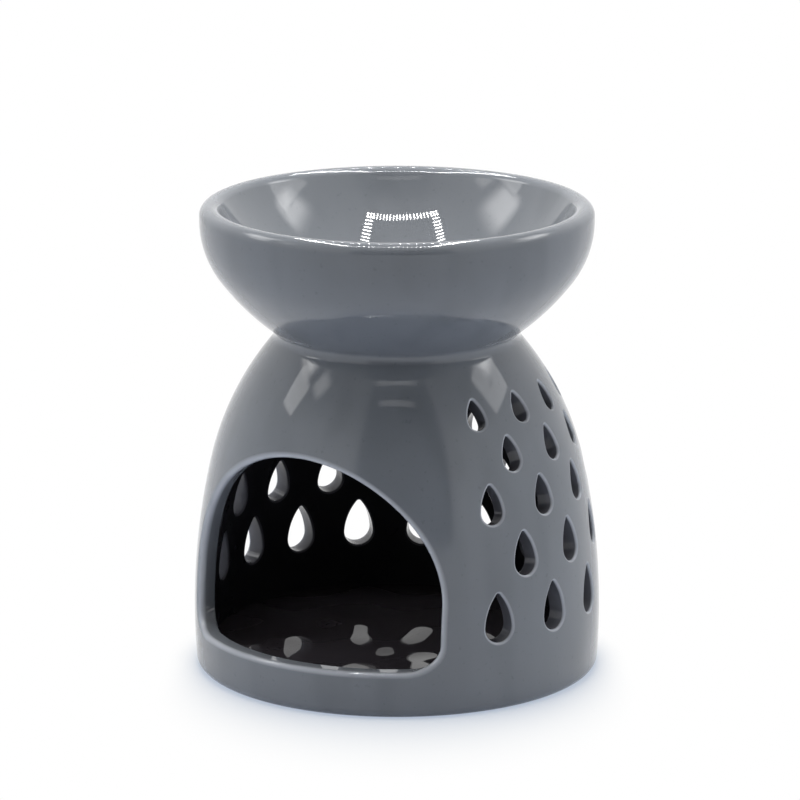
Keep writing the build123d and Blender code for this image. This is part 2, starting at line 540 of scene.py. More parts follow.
def calculate(tree: Tree, operation: str, first: Socket | float, second: Socket | float) -> Socket:
    """Add a sum to a node tree.

    Args:
        tree: Node tree that takes the node.
        operation: Kind of sum.
        first: First value.
        second: Second value.

    Returns:
        The result.
    """
    node = tree.nodes.new("ShaderNodeMath")
    node.operation = operation
    for socket, value in zip(node.inputs, (first, second)):
        if isinstance(value, float):
            socket.default_value = value
        else:
            tree.links.new(value, socket)
    return node.outputs[0]


def remap(tree: Tree, value: Socket, source: Point, target: Point = (0.0, 1.0), smooth: bool = True) -> Socket:
    """Carry a value over from one range to another, held at both ends.

    Args:
        tree: Node tree that takes the node.
        value: Value to carry over.
        source: Range that it comes from.
        target: Range that it goes to.
        smooth: Whether it eases in and out.

    Returns:
        The new value.
    """
    node = tree.nodes.new("ShaderNodeMapRange")
    node.interpolation_type = "SMOOTHSTEP" if smooth else "LINEAR"
    for name, level in zip(("From Min", "From Max", "To Min", "To Max"), (*source, *target)):
        node.inputs[name].default_value = level
    tree.links.new(value, node.inputs["Value"])
    return node.outputs["Result"]


def window(tree: Tree, value: Socket, low: float, high: float, soft: float) -> Socket:
    """Give 1 between two levels of a value and 0 outside them.

    Args:
        tree: Node tree that takes the nodes.
        value: Value to look at.
        low: Lower level.
        high: Upper level.
        soft: Width of the change at each level.

    Returns:
        The share, from 0 to 1.
    """
    rise = remap(tree, value, (low, low + soft))
    fall = remap(tree, value, (high, high - soft))
    return calculate(tree, "MULTIPLY", rise, fall)


def blend(tree: Tree, share: Socket, first: Socket | Colour, second: Socket | Colour) -> Socket:
    """Blend two colours.

    Args:
        tree: Node tree that takes the node.
        share: Amount of the second colour.
        first: Colour or socket at 0.
        second: Colour or socket at 1.

    Returns:
        The blended colour.
    """
    node = tree.nodes.new("ShaderNodeMix")
    node.data_type = "RGBA"
    tree.links.new(share, node.inputs["Factor"])
    for name, colour in (("A", first), ("B", second)):
        socket = next(s for s in node.inputs if s.name == name and s.type == "RGBA")
        if isinstance(colour, tuple):
            socket.default_value = (*colour, 1.0)
        else:
            tree.links.new(colour, socket)
    return next(s for s in node.outputs if s.type == "RGBA")


@dataclass(frozen=True)
class Glaze:
    """Glossy grey glaze, paler where it draws thin over an edge.

    Attributes:
        name: Material name.
        thick: Colour where the glaze lies thick, linear.
        thin: Colour where it draws thin over edges, linear.
        roughness: Evenly polished level.
        ripple: Height of the slow waves in the glaze, in metres.
        ripple_scale: Waves to a metre.
        ripple_seed: Place in the noise of the waves.
        grain: Height of the fine skin, in metres.
        runs: How much the downward runs of the glaze show.
        ior: Refractive index of the glassy surface.
        specular: Strength of its shine, where 0.5 is full.
    """

    name: str
    thick: Colour
    thin: Colour
    roughness: float
    ripple: float
    ripple_scale: float = 55.0
    ripple_seed: float = 0.0
    grain: float = 0.000004
    runs: float = 0.0
    ior: float = 1.52
    specular: float = 0.5
    grain_scale: float = 420.0  # this and the other scales are waves to a metre
    cloud_scale: float = 38.0
    cloud_shades: Point = (0.9, 1.1)  # a shade is a level against the thick colour
    fleck_scale: float = 900.0
    fleck_levels: Point = (0.62, 0.74)  # of the noise, from no fleck to a full one
    fleck_share: float = 0.22
    fleck_shade: float = 0.45
    run_scale: float = 95.0
    run_seed: float = 4.0
    run_levels: Point = (0.5, 0.72)
    run_shade: float = 0.5
    run_squash: float = 0.16  # of the height, which draws the runs out downwards
    polish_scale: float = 210.0
    polish_span: Point = (0.7, 1.3)  # of the roughness

    def material(self) -> bpy.types.Material:
        """Build the material.

        Returns:
            A node material with cloudy tone, small flecks, thin edges and slow waves.
        """
        made = bpy.data.materials.new(self.name)
        made.use_nodes = True
        tree = made.node_tree
        shader = tree.nodes["Principled BSDF"]
        shader.inputs["IOR"].default_value = self.ior
        shader.inputs["Specular IOR Level"].default_value = self.specular
        place = tree.nodes.new("ShaderNodeTexCoord").outputs["Object"]
        tree.links.new(self._tone(tree, place), shader.inputs["Base Color"])
        tree.links.new(self._polish(tree, place), shader.inputs["Roughness"])
        tree.links.new(self._surface(tree, place), shader.inputs["Normal"])
        return made

    def _tone(self, tree: Tree, place: Socket) -> Socket:
        """Give the colour: clouds, flecks and runs, and the paler edges over them.

        Args:
            tree: Node tree that takes the nodes.
            place: Point in space.

        Returns:
            The colour.
        """
        clouds = self._noise(tree, place, self.cloud_scale, detail=3.0)
        tone = blend(tree, clouds, *(self._shade(shade) for shade in self.cloud_shades))
        flecks = remap(tree, self._noise(tree, place, self.fleck_scale, detail=2.0), self.fleck_levels)
        flecks = calculate(tree, "MULTIPLY", flecks, self.fleck_share)
        tone = blend(tree, flecks, tone, self._shade(self.fleck_shade))
        drawn = self._noise(tree, self._drawn(tree, place), self.run_scale, detail=1.0, seed=self.run_seed)
        runs = calculate(tree, "MULTIPLY", remap(tree, drawn, self.run_levels), self.runs)
        tone = blend(tree, runs, tone, self._shade(self.run_shade))
        edge = tree.nodes.new("ShaderNodeAttribute")
        edge.attribute_name = THIN_GLAZE
        return blend(tree, edge.outputs["Fac"], tone, self.thin)

    def _polish(self, tree: Tree, place: Socket) -> Socket:
        """Give the roughness, which varies a little from place to place."""
        levels = (self.roughness * self.polish_span[0], self.roughness * self.polish_span[1])
        return remap(tree, self._noise(tree, place, self.polish_scale, detail=2.0), NOISE_SPAN, levels, smooth=False)

    def _surface(self, tree: Tree, place: Socket) -> Socket:
        """Give the normal: a fine skin over slow waves."""
        waves = self._noise(tree, place, self.ripple_scale, detail=0.0, seed=self.ripple_seed)
        skin = self._noise(tree, place, self.grain_scale, detail=1.0)
        return self._bump(tree, skin, self.grain, self._bump(tree, waves, self.ripple))

    def _shade(self, factor: float) -> Colour:
        """Darken or lighten the thick colour."""
        return self.thick[0] * factor, self.thick[1] * factor, self.thick[2] * factor

    def _drawn(self, tree: Tree, place: Socket) -> Socket:
        """Squash the height of a place, so that a noise over it is drawn out downwards."""
        node = tree.nodes.new("ShaderNodeMapping")
        node.inputs["Scale"].default_value = (1.0, 1.0, self.run_squash)
        tree.links.new(place, node.inputs["Vector"])
        return node.outputs["Vector"]

    def _noise(self, tree: Tree, place: Socket, scale: float, detail: float, seed: float = 0.0) -> Socket:
        """Add a noise over the object's own space.

        Args:
            tree: Node tree that takes the node.
            place: Point in space.
            scale: Waves to a metre.
            detail: Number of finer waves on top.
            seed: Place in the noise.

        Returns:
            A value about 0.5, mostly within NOISE_SPAN.
        """
        node = tree.nodes.new("ShaderNodeTexNoise")
        node.noise_dimensions = "4D"
        node.inputs["W"].default_value = seed
        node.inputs["Scale"].default_value = scale
        node.inputs["Detail"].default_value = detail
        tree.links.new(place, node.inputs["Vector"])
        return node.outputs["Fac"]

    def _bump(self, tree: Tree, height: Socket, distance: float, under: Socket | None = None) -> Socket:
        """Raise and lower the surface by a height.

        Args:
            tree: Node tree that takes the node.
            height: Value from 0 to 1.
            distance: Height of a full step, in metres.
            under: Normal that this one lies on, if any.

        Returns:
            The bumped normal.
        """
        node = tree.nodes.new("ShaderNodeBump")
        node.inputs["Distance"].default_value = distance
        tree.links.new(height, node.inputs["Height"])
        if under is not None:
            tree.links.new(under, node.inputs["Normal"])
        return node.outputs["Normal"]


@dataclass(frozen=True)
class GlazeSet:
    """The finishes of the burner, in the order of the coats. The chamber, floor and hole finishes are the grey glaze
    painted darker: painted shade.
    """

    outside: Glaze = Glaze(
        "grey_glaze",
        thick=(0.12, 0.128, 0.14),
        thin=(0.31, 0.32, 0.34),
        roughness=0.025,
        ripple=0.00025,
        runs=0.2,
    )
    # the grey glaze painted almost black, with a weak shine: painted shade of the unlit chamber
    chamber: Glaze = Glaze(
        "grey_glaze_painted_shade_in_chamber",
        thick=(0.011, 0.0105, 0.012),
        thin=(0.05, 0.053, 0.058),
        roughness=0.35,
        ripple=0.00005,
        specular=0.08,
    )
    # the grey glaze painted dark on the chamber's floor, with a weak shine: painted shade
    floor: Glaze = Glaze(
        "grey_glaze_painted_shade_on_floor",
        thick=(0.048, 0.041, 0.046),
        thin=(0.05, 0.053, 0.058),
        roughness=0.03,
        ripple=0.0019,
        ripple_scale=50.0,
        ripple_seed=20.1,
        grain=0.0000005,
        specular=0.08,
    )
    # the grey glaze painted darker, with paler edges dimmed too, inside the teardrops: painted shade
    hole: Glaze = Glaze(
        "grey_glaze_painted_shade_in_holes",
        thick=(0.055, 0.053, 0.06),
        thin=(0.2, 0.205, 0.22),
        roughness=0.06,
        ripple=0.00005,
        specular=0.22,
    )

    def materials(self) -> list[bpy.types.Material]:
        """Build the materials in the order of the coats."""
        return [glaze.material() for glaze in (self.outside, self.chamber, self.floor, self.hole)]


@dataclass(frozen=True)
class Ring:
    """One closed line of points round an opening.

    Attributes:
        points: Points in order.
        outs: Way out of the clay at each.
        thin: How thin the glaze lies on the line.
    """

    points: Array
    outs: Array
    thin: float


@dataclass(frozen=True)
class Opening:
    """Hole through the wall with softened edges.

    Attributes:
        outline: Stretches round the hole, walked with the hole on the left.
        origin: Point of the outline's zero.
        across: Direction of its first axis.
        upward: Direction of its second axis.
        inward: Direction of the cut.
        outer_round: Radius of the outer edge.
        inner_round: Radius of the inner edge.
        coat: Finish behind the outer edge.
        step: Longest distance between two points of the outline.
    """

    outline: list[Stretch]
    origin: Array
    across: Array
    upward: Array
    inward: Array
    outer_round: float
    inner_round: float
    coat: Coat
    step: float
    outer_steps: int = 6
    inner_steps: int = 4
    pale_span: float = 0.9  # part of a half wave in which the outer edge turns pale and dark again
    middle_thin: float = 0.15
    inner_thin: float = 0.1

    def rings(self, dome: DomeCurve, wall: float) -> list[Ring]:
        """Round the edges with a rolling ball.

        Args:
            dome: Curve of the wall.
            wall: Thickness of the wall.

        Returns:
            Closed lines from the outer skin through the hole to the inner skin.
        """
        flat, away = self._flat_outline()
        clay = away[:, :1] * self.across + away[:, 1:] * self.upward
        outer = self._ball_centres(dome, flat + self.outer_round * away, self.outer_round)
        inner = self._ball_centres(dome, flat + self.inner_round * away, wall - self.inner_round)
        skin = dome.facing(*dome.locate(outer)[:2])
        lining = -dome.facing(*dome.locate(inner)[:2])
        pale = np.sin(math.pi * self.pale_span * np.linspace(0.0, 1.0, self.outer_steps + 1))
        plain = np.full(self.inner_steps + 1, self.inner_thin)
        lines = self._arc_rings(outer, skin, -clay, self.outer_round, pale)
        middle = (lines[-1].points + inner - self.inner_round * clay) / 2
        lines.append(Ring(middle, -clay, self.middle_thin))
        return lines + self._arc_rings(inner, -clay, lining, self.inner_round, plain)

    def _flat_outline(self) -> tuple[Array, Array]:
        """Give the outline's points and the directions into the clay, without doubled ends."""
        samples = [stretch.sample(self.step) for stretch in self.outline]
        return np.concatenate([s[0][:-1] for s in samples]), np.concatenate([s[1][:-1] for s in samples])

    def _ball_centres(self, dome: DomeCurve, flat: Array, depth: float) -> Array:
        """Drop flat points along the cut to a depth in the wall."""
        start = self.origin + flat[:, :1] * self.across + flat[:, 1:] * self.upward
        return dome.sink(start, self.inward, depth)

    def _arc_rings(self, centres: Array, first: Array, last: Array, ball: float, thin: Array) -> list[Ring]:
        """Lay lines over the ball from one direction to another.

        Args:
            centres: Ball centres.
            first: Directions of the first line.
            last: Directions of the last line.
            ball: Radius of the ball.
            thin: How thin the glaze lies on each line.

        Returns:
            The lines in order.
        """
        angle = np.arccos(np.clip((first * last).sum(axis=1), -1.0, 1.0))[:, None]
        lines = []
        for share, level in zip(np.linspace(0.0, 1.0, len(thin)), thin):
            ways = (np.sin((1 - share) * angle) * first + np.sin(share * angle) * last) / np.sin(angle)
            lines.append(Ring(centres + ball * ways, ways, float(level)))
        return lines


@dataclass(frozen=True)
class ChamberBase:
    """Floor of the candle chamber, with a rounded lower edge and a ring to stand on."""

    dome: DomeCurve = DomeCurve()
    wheel: Wheel = Wheel()
    lower_round: float = 2.5
    foot_width: float = 7.0
    foot_depth: float = 1.2

    def build(self) -> bpy.types.Object:
        """Make the piece."""
        skin = Skin("glazed_base")
        self.wheel.throw(skin, self._section())
        return skin.to_object()

    def dress(self, piece: bpy.types.Object, finishes: list[bpy.types.Material]) -> None:
        """Give the piece its finishes and its place."""
        settle(piece, "chamber_base", finishes)

    def _section(self) -> list[Stretch]:
        """Give the half section, from the axis underneath round to the axis on the floor."""
        centre, arc = self.dome.belly_centre, self.dome.belly_arc
        round_centre = at_height(centre, arc - self.lower_round, self.lower_round)
        foot_outer = (round_centre[0], 0.0)
        foot_inner = (foot_outer[0] - self.foot_width, 0.0)
        hollow = (foot_inner[0] - self.foot_depth, self.foot_depth)
        round_end = along(centre, round_centre, arc)
        floor_edge = at_height(centre, arc, self.dome.floor_height)
        return [
            Line((0.0, self.foot_depth), hollow),
            Line(hollow, foot_inner),
            Line(foot_inner, foot_outer),
            Arc(round_centre, foot_outer, round_end),
            Arc(centre, round_end, floor_edge),
            # the chamber's floor takes the dark coat: painted shade
            Line(floor_edge, (0.0, self.dome.floor_height), coat=Coat.FLOOR_PAINTED_SHADE),
        ]


@dataclass(frozen=True)
class ChamberWall:
    """Domed wall with the arch for the candle and five rows of teardrops."""

    bowl: BowlCurve = BowlCurve()
    wheel: Wheel = Wheel()
    wall: float = 4.8
    arch_half: float = 34.4
    arch_sill: float = 11.5
    arch_spring: float = 26.0  # height at which the round head begins
    arch_corner: float = 6.0
    arch_round: float = 1.3
    arch_inner_round: float = 1.0
    arch_grain: float = 1.4  # distance between points of its outline
    tear_rows: int = 5
    tears_per_row: int = 12
    tear_margin: float = 16.9  # from a side of the arch to the nearest teardrop's middle
    tear_height: float = 12.0  # in the lowest row, as the next three
    tear_width: float = 7.4
    tear_tip: float = 0.7
    tear_side: float = 14.04
    tear_shrink: float = 0.89
    tear_round: float = 0.65
    tear_inner_round: float = 0.52
    tear_grain: float = 1.1  # distance between points of an outline in the lowest row
    tip_turn: float = 18.0  # degrees between two points of a tip
    row_height: float = 23.3
    row_step: float = 14.5
    row_shrink: float = 0.87
    seam_segment: int = 28  # seam of the flat pattern, on the plain strip beside the arch
    outer_grain: float = 2.0  # distance between points of the outer skin
    inner_grain: float = 2.8

    @property
    def dome(self) -> DomeCurve:
        """Curve of the wall."""
        return self.bowl.dome

    def build(self) -> bpy.types.Object:
        """Make the piece.

        Returns:
            The closed wall, outer and inner skin joined through every opening.
        """
        skin = Skin("pierced_wall")
        outer_loops, inner_loops = [], []
        for opening in [self._arch(), *self._teardrops()]:
            lines = opening.rings(self.dome, self.wall)
            numbers = [skin.add_points(line.points, line.thin) for line in lines]
            for place in range(len(lines) - 1):
                near, far = lines[place], lines[place + 1]
                coat = Coat.GREY if place < opening.outer_steps else opening.coat
                skin.add_band(numbers[place], numbers[place + 1], near.outs, far.outs, coat)
            outer_loops.append((numbers[0], lines[0].points))
            inner_loops.append((numbers[-1], lines[-1].points))
        outer_low = self.dome.lean_at(self.dome.floor_height)
        outer_high = self.dome.lean_at(self.bowl.bead_low[1])
        inner_low = self.dome.lean_at(self.dome.floor_height, self.wall)
        inner_high = self.dome.lean_at(self.dome.neck[1], self.wall)
        outside = Sheet(self.dome, self.wheel, self.seam_segment, 0.0, outer_low, outer_high, self.outer_grain)
        inside = Sheet(self.dome, self.wheel, self.seam_segment, self.wall, inner_low, inner_high, self.inner_grain)
        outer_foot, outer_top = outside.lay(skin, outer_loops, Coat.GREY)
        # the inner skin takes the near-black coat: painted shade of the chamber
        inner_foot, inner_top = inside.lay(skin, inner_loops, Coat.CHAMBER_PAINTED_SHADE)
        self._close(skin, outer_foot, inner_foot, outer_top, inner_top)
        return skin.to_object()

    def dress(self, piece: bpy.types.Object, finishes: list[bpy.types.Material]) -> None:
        """Give the piece its finishes and its place."""
        settle(piece, "chamber_wall", finishes)

    def _arch(self) -> Opening:
        """Give the round-headed opening in front."""
        half, sill, spring = self.arch_half, self.arch_sill, self.arch_spring
        inner, low = half - self.arch_corner, sill + self.arch_corner
        outline = [
            Line((-inner, sill), (inner, sill)),
            Arc((inner, low), (inner, sill), (half, low)),
            Line((half, low), (half, spring)),
            Arc((0.0, spring), (half, spring), (0.0, spring + half)),
            Arc((0.0, spring), (0.0, spring + half), (-half, spring)),
            Line((-half, spring), (-half, low)),
            Arc((-inner, low), (-half, low), (-inner, sill)),
        ]
        return Opening(
            outline,
            origin=np.array([0.0, -self.dome.body_radius, 0.0]),
            across=np.array([1.0, 0.0, 0.0]),
            upward=np.array([0.0, 0.0, 1.0]),
            inward=np.array([0.0, 1.0, 0.0]),
            outer_round=self.arch_round,
            inner_round=self.arch_inner_round,
            coat=Coat.GREY,
            step=self.arch_grain,
        )

    def _teardrops(self) -> list[Opening]:
        """Give all teardrops, every second row shifted by half the pitch.

        Returns:
            The openings, lowest row first.
        """
        radius = self.dome.body_radius
        start = math.asin(self.arch_half / radius) + self.tear_margin / radius
        pitch = (2 * math.pi - 2 * start) / (self.tears_per_row - 0.5)
        openings = []
        height = self.row_height
        for row in range(self.tear_rows):
            outline = self._tear_outline(self.tear_shrink**row)
            for place in range(self.tears_per_row):
                turn = start + pitch * (place + (row % 2) / 2)
                openings.append(self._tear(outline, turn, height, self.tear_shrink**row))
            height += self.row_step * self.row_shrink**row
        return openings

    def _tear(self, outline: list[Stretch], turn: float, height: float, scale: float) -> Opening:
        """Place a teardrop square to the wall.

        Args:
            outline: Its outline about its middle.
            turn: Turn about the axis.
            height: Height of its middle.
            scale: Size against the lowest row.

        Returns:
            The opening.
        """
        lean = self.dome.lean_at(height)
        out = self.dome.facing(np.array(turn), np.array(lean))
        across = np.array([math.cos(turn), math.sin(turn), 0.0])
        return Opening(
            outline,
            origin=self.dome.place(np.array(turn), np.array(lean), 0.0),
            across=across,
            upward=np.cross(out, across),
            inward=-out,
            outer_round=self.tear_round,
            inner_round=self.tear_inner_round,
            # past the outer rounding the hole walls take the darker coat: painted shade
            coat=Coat.HOLE_PAINTED_SHADE,
            step=self.tear_grain * scale,
            outer_steps=5,
            inner_steps=3,
        )

    def _tear_outline(self, scale: float) -> list[Stretch]:
        """Give the outline of a teardrop: round foot, bowed sides and blunted tip.

        Args:
            scale: Size against the lowest row.

        Returns:
            The stretches, from the lowest point round.
        """
        height, foot = self.tear_height * scale, self.tear_width * scale / 2
        tip, side = self.tear_tip * scale, self.tear_side * scale
        foot_centre, tip_centre = (0.0, foot - height / 2), (0.0, height / 2 - tip)
        left = min(meet(foot_centre, side - foot, tip_centre, side - tip))
        right = (-left[0], left[1])
        low, high = along(left, foot_centre, side), along(left, tip_centre, side)
        bottom, top = (0.0, -height / 2), (0.0, height / 2)
        return [
            Arc(foot_centre, bottom, low),
            Arc(left, low, high),
            Arc(tip_centre, high, top, widest_turn=self.tip_turn),
            Arc(tip_centre, top, (-high[0], high[1]), widest_turn=self.tip_turn),
            Arc(right, (-high[0], high[1]), (-low[0], low[1])),
            Arc(foot_centre, (-low[0], low[1]), bottom),
        ]

    def _close(self, skin: Skin, outer_foot: Array, inner_foot: Array, outer_top: Array, inner_top: Array) -> None:
        """Close the wall's foot and its seat under the bowl.

        Args:
            skin: Piece that takes the faces.
            outer_foot: Point numbers of the outer skin's lowest ring.
            inner_foot: Point numbers of the inner skin's lowest ring.
            outer_top: Point numbers of the outer skin's highest ring.
            inner_top: Point numbers of the inner skin's highest ring.
        """
        down = np.tile([0.0, 0.0, -1.0], (self.wheel.segments, 1))
        skin.add_band(inner_foot, outer_foot, down, down, Coat.GREY)
        bowl, dome = self.bowl, self.dome
        root = skin.add_points(self._round_seam(bowl.low_root))
        seat = skin.add_points(self._round_seam(bowl.seat))
        upper = [outer_top, root, seat, inner_top]
        seat_inner = at_height(dome.shoulder_centre, dome.shoulder_arc - self.wall, dome.neck[1])
        ends = [bowl.bead_low, bowl.low_root, bowl.seat, seat_inner]
        for place in range(len(upper) - 1):
            outs = self._round_seam(Line(ends[place], ends[place + 1]).outward)
            skin.add_band(upper[place], upper[place + 1], outs, outs, Coat.GREY)

    def _round_seam(self, pair: Point | Array) -> Array:
        """Carry a (radius, height) pair round the axis, from the seam on."""
        return np.roll(self.wheel.spread(np.array(pair)), -self.seam_segment, axis=0)


@dataclass(frozen=True)
class Sheet:
    """One skin of the wall, meshed flat between its openings and laid on the dome.

    Attributes:
        dome: Curve of the wall.
        wheel: Segments of its lowest and highest rings.
        seam_segment: Segment at which the flat pattern is slit.
        depth: Depth under the outer skin.
        low: Lean of the lowest ring.
        high: Lean of the highest ring.
        grain: Distance between points.
    """

    dome: DomeCurve
    wheel: Wheel
    seam_segment: int
    depth: float
    low: float
    high: float
    grain: float
    row_share: float = 0.87  # distance between staggered rows, as a share of the grain
    edge_share: float = 0.62  # least distance from an opening, as a share of the grain
    stagger: float = 0.25  # shift of a row to either side, as a share of a step

    @property
    def seam(self) -> float:
        """Turn of the slit."""
        return self.seam_segment * 2 * math.pi / self.wheel.segments

    def lay(self, skin: Skin, loops: list[tuple[Array, Array]], coat: Coat) -> tuple[Array, Array]:
        """Mesh the skin between its openings.

        Args:
            skin: Piece that takes the points and faces.
            loops: Point numbers and points of the edge of each opening.
            coat: Finish of the skin.

        Returns:
            The point numbers of the lowest and of the highest ring.
        """
        flat_loops = [self._flatten(points) for _, points in loops]
        border, border_size = self._border()
        grid = self._grid(flat_loops)
        places = np.concatenate([border, *flat_loops, grid])
        numbers = self._number(skin, border, [n for n, _ in loops], grid)
        faces = self._triangles(places, len(border), [len(loop) for loop in flat_loops])
        turn, lean = self._unflatten(places)
        outs = self.dome.facing(turn, lean) * (1.0 if self.depth == 0.0 else -1.0)
        if self.depth != 0.0:
            faces = faces[:, ::-1]
        skin.add_faces(numbers[faces], outs[faces], coat)
        rows, columns = border_size
        foot = numbers[:columns]
        top = numbers[columns + rows : 2 * columns + rows][::-1]
        return foot, np.roll(top, 1)

    def _flatten(self, points: Array) -> Array:
        """Give the flat-pattern places of points on the skin."""
        turn, lean, _ = self.dome.locate(points)
        turn = np.where(turn < self.seam, turn + 2 * math.pi, turn)
        return np.stack([turn * self.dome.body_radius, self.dome.run(lean)], axis=1)

    def _unflatten(self, places: Array) -> tuple[Array, Array]:
        """Give the turn and lean of flat-pattern places."""
        return places[:, 0] / self.dome.body_radius, self.dome.lean_of_run(places[:, 1])

    def _border(self) -> tuple[Array, tuple[int, int]]:
        """Walk round the flat pattern: foot, right side of the slit, top and left side.

        Returns:
            The places, and the counts of places up a side and along the foot.
        """
        left = self.seam * self.dome.body_radius
        right = left + 2 * math.pi * self.dome.body_radius
        low, high = self.dome.run(np.array(self.low)), self.dome.run(np.array(self.high))
        columns = self.wheel.segments
        rows = max(2, round(float(high - low) / self.grain))
        along_foot = np.linspace(left, right, columns + 1)
        up_side = np.linspace(low, high, rows + 1)
        foot = np.stack([along_foot[:-1], np.full(columns, low)], axis=1)
        right_side = np.stack([np.full(rows, right), up_side[:-1]], axis=1)
        top = np.stack([along_foot[::-1][:-1], np.full(columns, high)], axis=1)
        left_side = np.stack([np.full(rows, left), up_side[::-1][:-1]], axis=1)
        return np.concatenate([foot, right_side, top, left_side]), (rows, columns)

    def _grid(self, loops: list[Array]) -> Array:
        """Fill the pattern with staggered points, clear of the openings.

        Args:
            loops: Flat edges of the openings.

        Returns:
            The places of the points.
        """
        left = self.seam * self.dome.body_radius
        low, high = float(self.dome.run(np.array(self.low))), float(self.dome.run(np.array(self.high)))
        rows = max(2, round((high - low) / (self.grain * self.row_share)))
        columns = round(2 * math.pi * self.dome.body_radius / self.grain)
        steps = np.arange(columns) + 0.5
        lines = []
        for row in range(1, rows):
            shift = self.stagger if row % 2 else -self.stagger
            turn = left + (steps + shift) * (2 * math.pi * self.dome.body_radius / columns)
            lines.append(np.stack([turn, np.full(columns, low + (high - low) * row / rows)], axis=1))
        places = np.concatenate(lines)
        keep = np.ones(len(places), dtype=bool)
        for loop in loops:
            low_corner, high_corner = loop.min(axis=0) - self.grain, loop.max(axis=0) + self.grain
            where = np.flatnonzero(((places > low_corner) & (places < high_corner)).all(axis=1))
            gap = np.linalg.norm(places[where, None] - loop[None], axis=2).min(axis=1)
            keep[where[(gap < self.edge_share * self.grain) | self._inside(places[where], loop)]] = False
        return places[keep]

    def _inside(self, places: Array, loop: Array) -> Array:
        """Say which places lie inside a bulging loop."""
        course = np.roll(loop, -1, axis=0) - loop
        away = places[:, None] - loop[None]
        return (course[:, 0] * away[..., 1] - course[:, 1] * away[..., 0] > 0).all(axis=1)

    def _number(self, skin: Skin, border: Array, loop_numbers: list[Array], grid: Array) -> Array:
        """Add the sheet's own points and number every place, with both sides of the slit as one.

        Args:
            skin: Piece that takes the points.
            border: Places round the flat pattern.
            loop_numbers: Point numbers of the openings' edges, already in the piece.
            grid: Places between them.

        Returns:
            A point number for each place, in the order border, openings, grid.
        """
        turn, lean = self._unflatten(np.concatenate([border, grid]))
        points = self.dome.place(turn, lean, self.depth)
        columns = self.wheel.segments
        rows = (len(border) - 2 * columns) // 2
        left = np.arange(2 * columns + rows, len(border))
        own = np.arange(len(border))
        own[columns] = 0
        own[columns + 1 : columns + rows] = left[1:][::-1]
        own[left[0]] = columns + rows
        used = np.unique(own)
        border_numbers = np.empty(len(border), dtype=int)
        border_numbers[used] = skin.add_points(points[used])
        border_numbers = border_numbers[own]
        grid_numbers = skin.add_points(points[len(border) :])
        return np.concatenate([border_numbers, *loop_numbers, grid_numbers])

    def _triangles(self, places: Array, border: int, loop_sizes: list[int]) -> Array:
        """Triangulate the flat pattern around its openings.

        Args:
            places: Border, then openings, then points between.
            border: Number of places in the border.
            loop_sizes: Number of places in each opening's edge.

        Returns:
            The places of each triangle outside the openings.
        """
        edges = [list(range(border))]
        start = border
        for size in loop_sizes:
            edges.append(list(range(start, start + size)))
            start += size
        spots = [Vector((float(x), float(y))) for x, y in places]
        made, _, faces, origins, _, owners = delaunay_2d_cdt(spots, [], edges, 0, SAME_PLACE, True)
        if len(made) != len(places):
            raise RuntimeError(f"the flat pattern has {len(made)} points instead of {len(places)}")
        first = [origin[0] for origin in origins]
        kept = [[first[v] for v in face] for face, owner in zip(faces, owners) if list(owner) == [0]]
        return np.array(kept)


@dataclass(frozen=True)
class NeckJoint:
    """Ring of clay slip that fills the crease between wall and bowl."""

    bowl: BowlCurve = BowlCurve()
    wheel: Wheel = Wheel(step=0.5)

    def build(self) -> bpy.types.Object:
        """Make the piece."""
        skin = Skin("neck_bead")
        self.wheel.throw(skin, self._section())
        return skin.to_object()

    def dress(self, piece: bpy.types.Object, finishes: list[bpy.types.Material]) -> None:
        """Give the piece its finishes and its place."""
        settle(piece, "neck_joint", finishes)

    def _section(self) -> list[Stretch]:
        """Give the closed half section, from the lower edge of the hollow face round."""
        bowl = self.bowl
        return [
            Arc(bowl.bead_centre, bowl.bead_low, bowl.bead_high),
            Line(bowl.bead_high, bowl.high_root),
            Line(bowl.high_root, bowl.seat),
            Line(bowl.seat, bowl.low_root),
            Line(bowl.low_root, bowl.bead_low),
        ]


@dataclass(frozen=True)
class OilBowl:
    """Round-lipped bowl for water and oil, joined to the top of the wall."""

    bowl: BowlCurve = BowlCurve()
    wheel: Wheel = Wheel()
    side_turn: float = 4.0  # degrees between two points of the upper curve
    lip_thin: float = 0.05  # how thin the glaze lies on top of the lip

    def build(self) -> bpy.types.Object:
        """Make the piece."""
        skin = Skin("glazed_bowl")
        self.wheel.throw(skin, self._section())
        return skin.to_object()

    def dress(self, piece: bpy.types.Object, finishes: list[bpy.types.Material]) -> None:
        """Give the piece its finishes and its place."""
        settle(piece, "oil_bowl", finishes)

    def _section(self) -> list[Stretch]:
        """Give the half section, from the axis underneath round to the axis on the bowl's floor.

        Returns:
            The stretches in order.
        """
        bowl = self.bowl
        lower, side, lip = bowl.lower_centre, bowl.side_centre, bowl.lip_centre
        lip_top = (lip[0], lip[1] + bowl.lip_round)
        lower_end = along(lower, side, bowl.lower_arc)
        dish_edge = along(lip, bowl.dish_centre, bowl.lip_round)
        return [
            # the underside over the chamber takes the same painted shade
            Line((0.0, bowl.dome.neck[1]), bowl.seat, coat=Coat.CHAMBER_PAINTED_SHADE),
            Line(bowl.seat, bowl.high_root),
            Line(bowl.high_root, bowl.bead_high),
            Arc(lower, bowl.bead_high, lower_end),
            Arc(side, lower_end, (bowl.radius, side[1]), widest_turn=self.side_turn),
            Line((bowl.radius, side[1]), (bowl.radius, lip[1])),
            Arc(lip, (bowl.radius, lip[1]), lip_top, thin=(0.0, self.lip_thin)),
            Arc(lip, lip_top, dish_edge, thin=(self.lip_thin, 0.0)),
            Arc(bowl.dish_centre, dish_edge, bowl.dish_floor),
        ]


